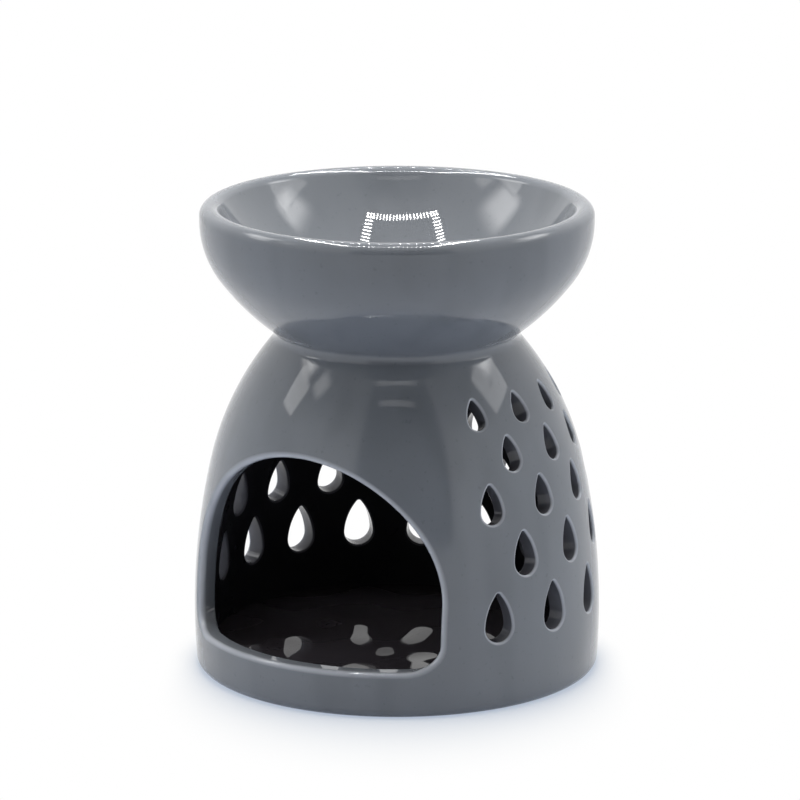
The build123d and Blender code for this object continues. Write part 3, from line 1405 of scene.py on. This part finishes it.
def settle(piece: bpy.types.Object, node: str, finishes: list[bpy.types.Material]) -> None:
    """Give a piece its finishes and let it stand for its solid.

    Args:
        piece: The dressed piece.
        node: Solid that it stands for.
        finishes: Materials in the order of the coats.
    """
    for finish in finishes:
        piece.data.materials.append(finish)
    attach(piece, "root")
    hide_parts(node)


class Beam(Enum):
    """How the face of a lamp glows."""

    SOFT = "fades to its edges"
    DOTS = "row of dots along its longer side"


class Role(Enum):
    """What a lamp does for the picture."""

    LIGHTS = "lights the pieces"
    SHINES = "shows in the glaze"


@dataclass(frozen=True)
class Lamp:
    """Flat lamp that faces a point over the burner.

    Attributes:
        name: Its name.
        spot: Middle of its face, as metres to the camera's right, away from the camera and up.
        target: Point that it faces, the same way.
        width: Width of its face, in metres.
        height: Height of its face, in metres.
        glow: Brightness of its face, where 1 is white.
        role: What it does.
        beam: How its face glows.
        soft: Share of its face over which it fades.
        pitch: Distance between two dots, in metres.
        tint: Colour of its light.
    """

    name: str
    spot: tuple[float, float, float]
    target: tuple[float, float, float]
    width: float
    height: float
    glow: float
    role: Role = Role.SHINES
    beam: Beam = Beam.SOFT
    soft: float = 0.5
    pitch: float = 0.01
    tint: Colour = (1.0, 1.0, 1.0)
    dot_power: float = 10.0  # how sharply a dot stands out
    dot_floor: float = 0.005  # glow between two dots

    @classmethod
    def overhead(
        cls,
        name: str,
        right: float,
        away: float,
        width: float,
        height: float,
        glow: float,
        **more: float | Role | Beam,
    ) -> "Lamp":
        """Give a lamp under the tent's roof that faces straight down.

        Args:
            name: Its name.
            right: Metres to the camera's right.
            away: Metres away from the camera.
            width: Width of its face, in metres.
            height: Height of its face, in metres.
            glow: Brightness of its face.
            more: Other fields of the lamp.

        Returns:
            The lamp.
        """
        return cls(name, (right, away, ROOF_HEIGHT), (right, away, 0.0), width, height, glow, **more)

    def hang(self, turn: float) -> None:
        """Put the lamp up.

        Args:
            turn: Turn of the camera about the axis, in radians.
        """
        half_x, half_y = self.width / 2, self.height / 2
        mesh = bpy.data.meshes.new(self.name)
        face = [(-half_x, -half_y, 0.0), (half_x, -half_y, 0.0), (half_x, half_y, 0.0), (-half_x, half_y, 0.0)]
        mesh.from_pydata(face, [], [[0, 1, 2, 3]])
        mesh.materials.append(self._face())
        hung = bpy.data.objects.new(self.name, mesh)
        spin = Matrix.Rotation(turn, 3, "Z")
        aim = (Vector(self.target) - Vector(self.spot)).to_track_quat("Z", "Y").to_matrix()
        hung.matrix_world = Matrix.Translation(spin @ Vector(self.spot)) @ (spin @ aim).to_4x4()
        hung.visible_camera = False
        hung.visible_shadow = False
        hung.visible_glossy = self.role is Role.SHINES
        hung.visible_diffuse = self.role is Role.LIGHTS
        bpy.context.collection.objects.link(hung)

    def _face(self) -> bpy.types.Material:
        """Make the glowing face.

        Returns:
            A clear material that fades to its edges, or glows in a row of dots.
        """
        face = bpy.data.materials.new(self.name)
        face.use_nodes = True
        tree = face.node_tree
        tree.nodes.clear()
        out = tree.nodes.new("ShaderNodeOutputMaterial")
        glow = tree.nodes.new("ShaderNodeEmission")
        place = tree.nodes.new("ShaderNodeTexCoord").outputs["Object"]
        split = tree.nodes.new("ShaderNodeSeparateXYZ")
        tree.links.new(place, split.inputs[0])
        across = self._fade(tree, split.outputs["X"], self.width / 2)
        upward = self._fade(tree, split.outputs["Y"], self.height / 2)
        if self.beam is Beam.DOTS and self.width > self.height:
            across = self._dots(tree, split.outputs["X"])
        elif self.beam is Beam.DOTS:
            upward = self._dots(tree, split.outputs["Y"])
        strength = calculate(tree, "MULTIPLY", calculate(tree, "MULTIPLY", across, upward), self.glow)
        tree.links.new(strength, glow.inputs["Strength"])
        glow.inputs["Color"].default_value = (*self.tint, 1.0)
        clear = tree.nodes.new("ShaderNodeBsdfTransparent")
        both = tree.nodes.new("ShaderNodeAddShader")
        tree.links.new(clear.outputs[0], both.inputs[0])
        tree.links.new(glow.outputs[0], both.inputs[1])
        tree.links.new(both.outputs[0], out.inputs["Surface"])
        return face

    def _fade(self, tree: Tree, place: Socket, half: float) -> Socket:
        """Give 1 over the middle of the face and fade to 0 at its edge."""
        return window(tree, place, -half, half, half * self.soft)

    def _dots(self, tree: Tree, place: Socket) -> Socket:
        """Give a row of bright dots on a dim strip."""
        wave = calculate(tree, "PINGPONG", place, self.pitch / 2)
        level = calculate(tree, "MULTIPLY", wave, 2 / self.pitch)
        return calculate(tree, "ADD", calculate(tree, "POWER", level, self.dot_power), self.dot_floor)


@dataclass(frozen=True)
class Studio:
    """Camera, lamps, floor and surroundings of the photograph."""

    image_side: float = 800.0  # pixels
    focal_pixels: float = 5095.0
    camera_turn: float = 33.3  # degrees from the front towards +X
    camera_lift: float = 14.45
    camera_reach: float = 1250.0
    aim_height: float = 58.0
    aim_pixel: Point = (397.0, 432.6)  # where the aimed point lies in the image
    sensor: float = 36.0
    view_end: float = 100.0  # farthest distance that the camera sees, metres
    floor_radius: float = 3000.0
    floor_sides: int = 96
    floor_roughness: float = 0.9
    floor_bounce: Colour = (0.79, 0.84, 0.95)  # as a light on the pieces
    # floor_lit and floor_white tint the seen floor's shadow blue: painted shade colour
    floor_lit: Colour = (0.30, 0.27, 0.21)  # share of the seen floor that a shadow takes away
    floor_white: Colour = (0.40, 0.459, 0.565)  # share that stays
    # these set a painted fade of the shadow to white by distance from the axis
    shadow_start: float = 49.5  # from the axis to where the shadow starts to fade
    shadow_side: float = 8.0  # how far it reaches to the sides
    shadow_front: float = 50.0  # how far it reaches towards the camera
    world_fill: float = 0.47
    world_back: float = 0.35  # how much brighter than the middle its far side is
    mouth_turns: Point = (-32.0, 38.0)  # dark mouth of the tent on the camera's side, degrees
    mouth_lifts: Point = (-2.0, 62.0)
    mouth_level: float = 0.2
    mouth_edge: float = 8.0  # width of its soft edge, degrees
    roof_lifts: Point = (25.0, 50.0)  # where the tent's walls turn into its dimmer roof, degrees
    roof_level: float = 0.45
    lamps: tuple[Lamp, ...] = (
        Lamp.overhead("key_top", -0.01, 0.07, 0.36, 0.42, 7.5, role=Role.LIGHTS),
        Lamp("key_left", (-0.42, *KEY_SIDE), KEY_AIM, 0.36, 0.36, 3.3, Role.LIGHTS, tint=KEY_TINT),
        Lamp("key_right", (0.42, *KEY_SIDE), KEY_AIM, 0.36, 0.36, 3.4, Role.LIGHTS, tint=KEY_TINT),
        Lamp.overhead("row_front", -0.0115, -0.055, 0.165, 0.02, DOT_GLOW, beam=Beam.DOTS, pitch=0.0075),
        Lamp.overhead("row_back", -0.0115, 0.21, 0.165, 0.02, DOT_GLOW, beam=Beam.DOTS, pitch=0.0075),
        Lamp.overhead("row_left", -0.084, 0.0765, 0.02, 0.28, DOT_GLOW, beam=Beam.DOTS, pitch=0.011),
        Lamp.overhead("row_right", 0.061, 0.0765, 0.02, 0.28, DOT_GLOW, beam=Beam.DOTS, pitch=0.011),
        Lamp.overhead("panel_left", -0.3, 0.065, 0.24, 0.21, 4.8, soft=0.7),
        Lamp.overhead("panel_left_far", -0.49, 0.0125, 0.26, 0.165, 2.5, soft=0.3),
        Lamp.overhead("panel_corner", -0.315, -0.10, 0.14, 0.1, 1.9, soft=0.7),
        Lamp.overhead("panel_right", 0.3, 0.07, 0.23, 0.2, 4.8, soft=0.7),
        Lamp.overhead("panel_right_far", 0.4125, 0.015, 0.245, 0.22, 2.0, soft=0.2),
        Lamp.overhead("rail_near", 0.0, -0.27, 0.2, 0.03, 0.9),
        Lamp.overhead("rail_far", -0.005, -0.2, 0.2, 0.024, 0.9),
    )

    def place_camera(self) -> None:
        """Set the camera at the photograph's view."""
        turn, lift = math.radians(self.camera_turn), math.radians(self.camera_lift)
        outward = Vector((math.cos(lift) * math.sin(turn), -math.cos(lift) * math.cos(turn), math.sin(lift)))
        spot = Vector((0.0, 0.0, self.aim_height)) + self.camera_reach * outward
        right = Vector((math.cos(turn), math.sin(turn), 0.0))
        upward = outward.cross(right)
        middle = self.image_side / 2
        aside = (self.aim_pixel[0] - middle) / self.focal_pixels
        above = (middle - self.aim_pixel[1]) / self.focal_pixels
        ahead = (-outward - aside * right - above * upward).normalized()
        right = ahead.cross(Vector((0.0, 0.0, 1.0))).normalized()
        upward = right.cross(ahead)
        lens = bpy.data.cameras.new("photo_view")
        lens.sensor_width = self.sensor
        lens.lens = self.focal_pixels * self.sensor / self.image_side
        lens.clip_end = self.view_end
        view = bpy.data.objects.new("photo_view", lens)
        turned = Matrix((right, upward, -ahead)).transposed()
        view.matrix_world = Matrix.Translation(spot * MM) @ turned.to_4x4()
        bpy.context.collection.objects.link(view)
        bpy.context.scene.camera = view

    def lay_floor(self) -> None:
        """Lay the white floor, which keeps the burner's soft shadow from the lamps, with a painted tint and a
        painted fade to white.
        """
        mesh = bpy.data.meshes.new("floor")
        turns = np.arange(self.floor_sides) * (2 * math.pi / self.floor_sides)
        rim = np.stack([np.cos(turns), np.sin(turns), np.zeros(self.floor_sides)], axis=1) * self.floor_radius * MM
        mesh.from_pydata(rim.tolist(), [], [list(range(self.floor_sides))])
        floor = bpy.data.objects.new("floor", mesh)
        bpy.context.collection.objects.link(floor)
        mesh.materials.append(self._floor_paint())

    def _floor_paint(self) -> bpy.types.Material:
        """Paint the floor so that it shows white wherever no shadow falls. Its blue shadow tint and the fade to
        white are painted shade.

        Returns:
            The material.
        """
        paint = bpy.data.materials.new("white_floor")
        paint.use_nodes = True
        tree = paint.node_tree
        shader = tree.nodes["Principled BSDF"]
        shader.inputs["Roughness"].default_value = self.floor_roughness
        shader.inputs["Specular IOR Level"].default_value = 0.0
        shader.inputs["Emission Color"].default_value = (*self.floor_white, 1.0)
        seen = self._seen(tree)
        tree.links.new(seen, shader.inputs["Emission Strength"])
        tree.links.new(blend(tree, seen, self.floor_bounce, self.floor_lit), shader.inputs["Base Color"])
        white = tree.nodes.new("ShaderNodeEmission")
        both = tree.nodes.new("ShaderNodeMixShader")
        tree.links.new(calculate(tree, "MULTIPLY", self._painted_shadow_fade(tree), seen), both.inputs["Fac"])
        tree.links.new(shader.outputs[0], both.inputs[1])
        tree.links.new(white.outputs[0], both.inputs[2])
        tree.links.new(both.outputs[0], tree.nodes["Material Output"].inputs["Surface"])
        return paint

    def _painted_shadow_fade(self, tree: Tree) -> Socket:
        """Give the painted fade of the shadow: how far a place on the floor lies out of it, painted longest towards
        the camera.

        Args:
            tree: Node tree that takes the nodes.

        Returns:
            A value from 0 beside the burner to 1 where no shadow is left.
        """
        place = tree.nodes.new("ShaderNodeTexCoord").outputs["Object"]
        length = tree.nodes.new("ShaderNodeVectorMath")
        length.operation = "LENGTH"
        tree.links.new(place, length.inputs[0])
        away = length.outputs["Value"]
        split = self._turned(tree, place)
        forward = calculate(tree, "MAXIMUM", calculate(tree, "MULTIPLY", split.outputs["Y"], -1.0), 0.0)
        forward = calculate(tree, "POWER", calculate(tree, "DIVIDE", forward, away), 2.0)
        reach = calculate(tree, "MULTIPLY", forward, (self.shadow_front - self.shadow_side) * MM)
        reach = calculate(tree, "ADD", reach, self.shadow_side * MM)
        beyond = calculate(tree, "DIVIDE", calculate(tree, "SUBTRACT", away, self.shadow_start * MM), reach)
        beyond = calculate(tree, "MINIMUM", calculate(tree, "MAXIMUM", beyond, 0.0), 1.0)
        left = calculate(tree, "POWER", calculate(tree, "SUBTRACT", 1.0, beyond), 2.0)
        return calculate(tree, "SUBTRACT", 1.0, left)

    def _turned(self, tree: Tree, place: Socket) -> bpy.types.Node:
        """Split a place into its parts to the camera's right, away from the camera and up."""
        turned = tree.nodes.new("ShaderNodeVectorRotate")
        turned.rotation_type = "Z_AXIS"
        turned.inputs["Angle"].default_value = -math.radians(self.camera_turn)
        tree.links.new(place, turned.inputs["Vector"])
        split = tree.nodes.new("ShaderNodeSeparateXYZ")
        tree.links.new(turned.outputs[0], split.inputs[0])
        return split

    def _seen(self, tree: Tree) -> Socket:
        """Say whether a ray shows the background: seen, mirrored or through glass.

        Args:
            tree: Node tree that takes the nodes.

        Returns:
            A value of 1 for such a ray and 0 for others.
        """
        path = tree.nodes.new("ShaderNodeLightPath")
        direct = calculate(tree, "MAXIMUM", path.outputs["Is Camera Ray"], path.outputs["Is Transmission Ray"])
        return calculate(tree, "MAXIMUM", direct, path.outputs["Is Glossy Ray"])

    def light(self) -> None:
        """Set the lamps and the white surroundings."""
        self._surround()
        for lamp in self.lamps:
            lamp.hang(math.radians(self.camera_turn))
        bpy.context.scene.view_settings.view_transform = "Standard"

    def _surround(self) -> None:
        """Make the surroundings white to the eye, dimmer as a light, and a tent as the glaze mirrors them.

        A ray that the glaze mirrors sees the tent. Others see white, or the fill where they carry light.
        """
        world = bpy.data.worlds.new("white_tent")
        world.use_nodes = True
        bpy.context.scene.world = world
        tree = world.node_tree
        ground = tree.nodes["Background"]
        ground.inputs["Color"].default_value = (1.0, 1.0, 1.0, 1.0)
        path = tree.nodes.new("ShaderNodeLightPath")
        white = calculate(tree, "MAXIMUM", path.outputs["Is Camera Ray"], path.outputs["Is Transmission Ray"])
        turn, lift, far = self._look(tree)
        fill = calculate(tree, "MULTIPLY", calculate(tree, "MULTIPLY", far, self.world_back), self.world_fill)
        fill = calculate(tree, "ADD", fill, self.world_fill)
        plain = calculate(tree, "MAXIMUM", white, fill)
        mirrored = calculate(tree, "MULTIPLY", self._tent(tree, turn, lift), path.outputs["Is Glossy Ray"])
        others = calculate(tree, "SUBTRACT", 1.0, path.outputs["Is Glossy Ray"])
        total = calculate(tree, "ADD", mirrored, calculate(tree, "MULTIPLY", plain, others))
        tree.links.new(total, ground.inputs["Strength"])

    def _look(self, tree: Tree) -> tuple[Socket, ...]:
        """Give the direction of a ray.

        Args:
            tree: Node tree that takes the nodes.

        Returns:
            Its turn from the camera's side and its lift, in radians, and how far it points away from the camera.
        """
        split = self._turned(tree, tree.nodes.new("ShaderNodeTexCoord").outputs["Generated"])
        ahead = calculate(tree, "MULTIPLY", split.outputs["Y"], -1.0)
        turn = calculate(tree, "ARCTAN2", split.outputs["X"], ahead)
        return turn, calculate(tree, "ARCSINE", split.outputs["Z"], 0.0), split.outputs["Y"]

    def _tent(self, tree: Tree, turn: Socket, lift: Socket) -> Socket:
        """Give the brightness of the tent: white walls, a dimmer roof and a dark mouth.

        Args:
            tree: Node tree that takes the nodes.
            turn: Turn of the ray.
            lift: Lift of the ray.

        Returns:
            The brightness, where 1 is white.
        """
        edge = math.radians(self.mouth_edge)
        across = window(tree, turn, *(math.radians(a) for a in self.mouth_turns), edge)
        upward = window(tree, lift, *(math.radians(a) for a in self.mouth_lifts), edge)
        mouth = calculate(tree, "MULTIPLY", calculate(tree, "MULTIPLY", across, upward), 1.0 - self.mouth_level)
        lifts = (math.radians(self.roof_lifts[0]), math.radians(self.roof_lifts[1]))
        roof = remap(tree, lift, lifts, (1.0, self.roof_level))
        return calculate(tree, "MULTIPLY", roof, calculate(tree, "SUBTRACT", 1.0, mouth))


def main() -> None:
    """Dress the burner piece by piece, then light it and set the camera."""
    logging.basicConfig(level=logging.INFO, format="%(name)s: %(message)s")
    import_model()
    finishes = GlazeSet().materials()
    for part in (ChamberBase(), ChamberWall(), NeckJoint(), OilBowl()):
        piece = part.build()
        part.dress(piece, finishes)
        log.info("%s: %d points, %d faces", piece.name, len(piece.data.vertices), len(piece.data.polygons))
    studio = Studio()
    studio.place_camera()
    studio.lay_floor()
    studio.light()


if __name__ == "__main__":
    main()
